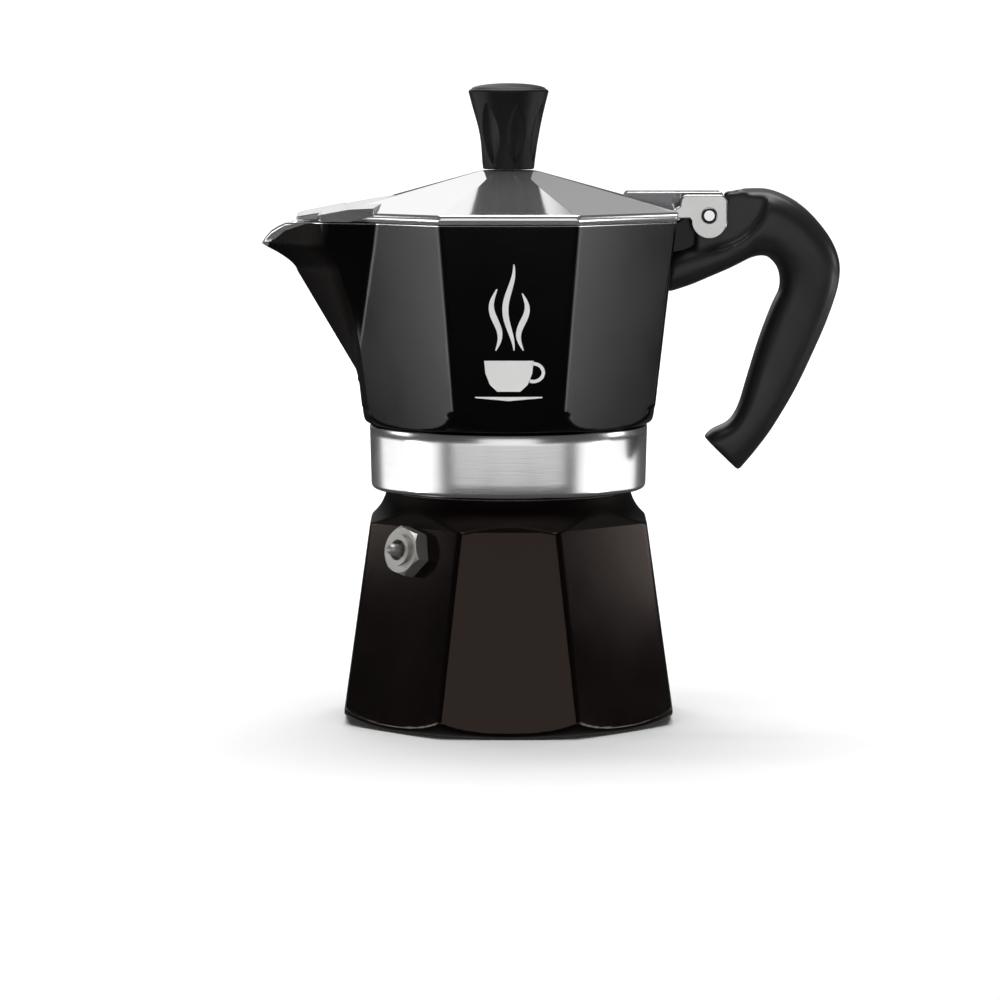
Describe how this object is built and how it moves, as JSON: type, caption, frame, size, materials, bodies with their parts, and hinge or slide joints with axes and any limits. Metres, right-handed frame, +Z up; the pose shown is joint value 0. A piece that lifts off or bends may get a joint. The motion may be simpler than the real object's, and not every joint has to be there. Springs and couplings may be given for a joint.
{
  "type": "moka pot",
  "caption": "Octagonal stovetop coffee pot: boiler with safety valve, screw-on collector with spout, hinged lid with knob, and side handle.",
  "frame": {"origin": "middle of the flat base, on the surface the pot stands on", "axes": "+Z up along the axis of the pot, +X towards the handle, -X towards the spout"},
  "size_m": [0.145, 0.084, 0.1598],
  "materials": {
    "dark_cast_aluminium": "satin, dark coated",
    "black_painted_aluminium": "satin, black coated, bare inside and on the lip and band",
    "polished_aluminium": "polished",
    "bare_aluminium": "cast, bead blasted",
    "sheet_aluminium": "satin spun sheet",
    "black_plastic": "moulded phenolic, satin",
    "valve_steel": "turned, satin",
    "brass": "turned",
    "white_rubber": "moulded silicone",
    "red_rubber": "moulded silicone"
  },
  "bodies": {
    "boiler": {"boiler": "dark_cast_aluminium", "valve_body": "valve_steel", "valve_spring": "valve_steel", "valve_collar": "valve_steel"},
    "valve_piston": {"valve_stem": "valve_steel", "valve_seal": "red_rubber"},
    "funnel": {"funnel_basket": "sheet_aluminium", "funnel_strainer": "sheet_aluminium", "funnel_tube": "sheet_aluminium"},
    "seal": {"gasket": "white_rubber", "filter_plate": "sheet_aluminium"},
    "collector": {"collector": "black_painted_aluminium", "column": "bare_aluminium", "hinge_pin": "valve_steel", "handle": "black_plastic"},
    "lid": {"lid": "polished_aluminium", "knob": "black_plastic", "knob_insert": "brass", "knob_washer": "valve_steel", "knob_screw": "valve_steel"}
  },
  "joints": [
    {"name": "valve_slide", "type": "slide", "parent": "boiler", "child": "valve_piston", "axis": [-0.6965, -0.6965, 0.1727], "range_m": [0, 0.0015], "stiffness_N_per_m": 400, "springref_m": -0.001, "deforming": ["valve_spring"]},
    {"name": "funnel_lift", "type": "slide", "parent": "boiler", "child": "funnel", "axis": [0, 0, 1], "range_m": [0, 0.0062]},
    {"name": "collector_lift", "type": "slide", "parent": "boiler", "child": "seal", "axis": [0, 0, 1], "range_m": [0, 0.0123]},
    {"name": "collector_turn", "type": "hinge", "parent": "seal", "child": "collector", "pos_m": [0, 0, 0], "axis": [0, 0, 1], "range_deg": [0, 1260]},
    {"name": "lid_hinge", "type": "hinge", "parent": "collector", "child": "lid", "pos_m": [0.0499, 0, 0.127], "axis": [0, 1, 0], "range_deg": [0, 100]}
  ],
  "couplings": [
    {"joint": "collector_lift", "follows": "collector_turn", "m_per_rad": 0.00055704},
    {"joint": "funnel_lift", "follows": "collector_turn", "m_per_rad": 0.00027852}
  ]
}
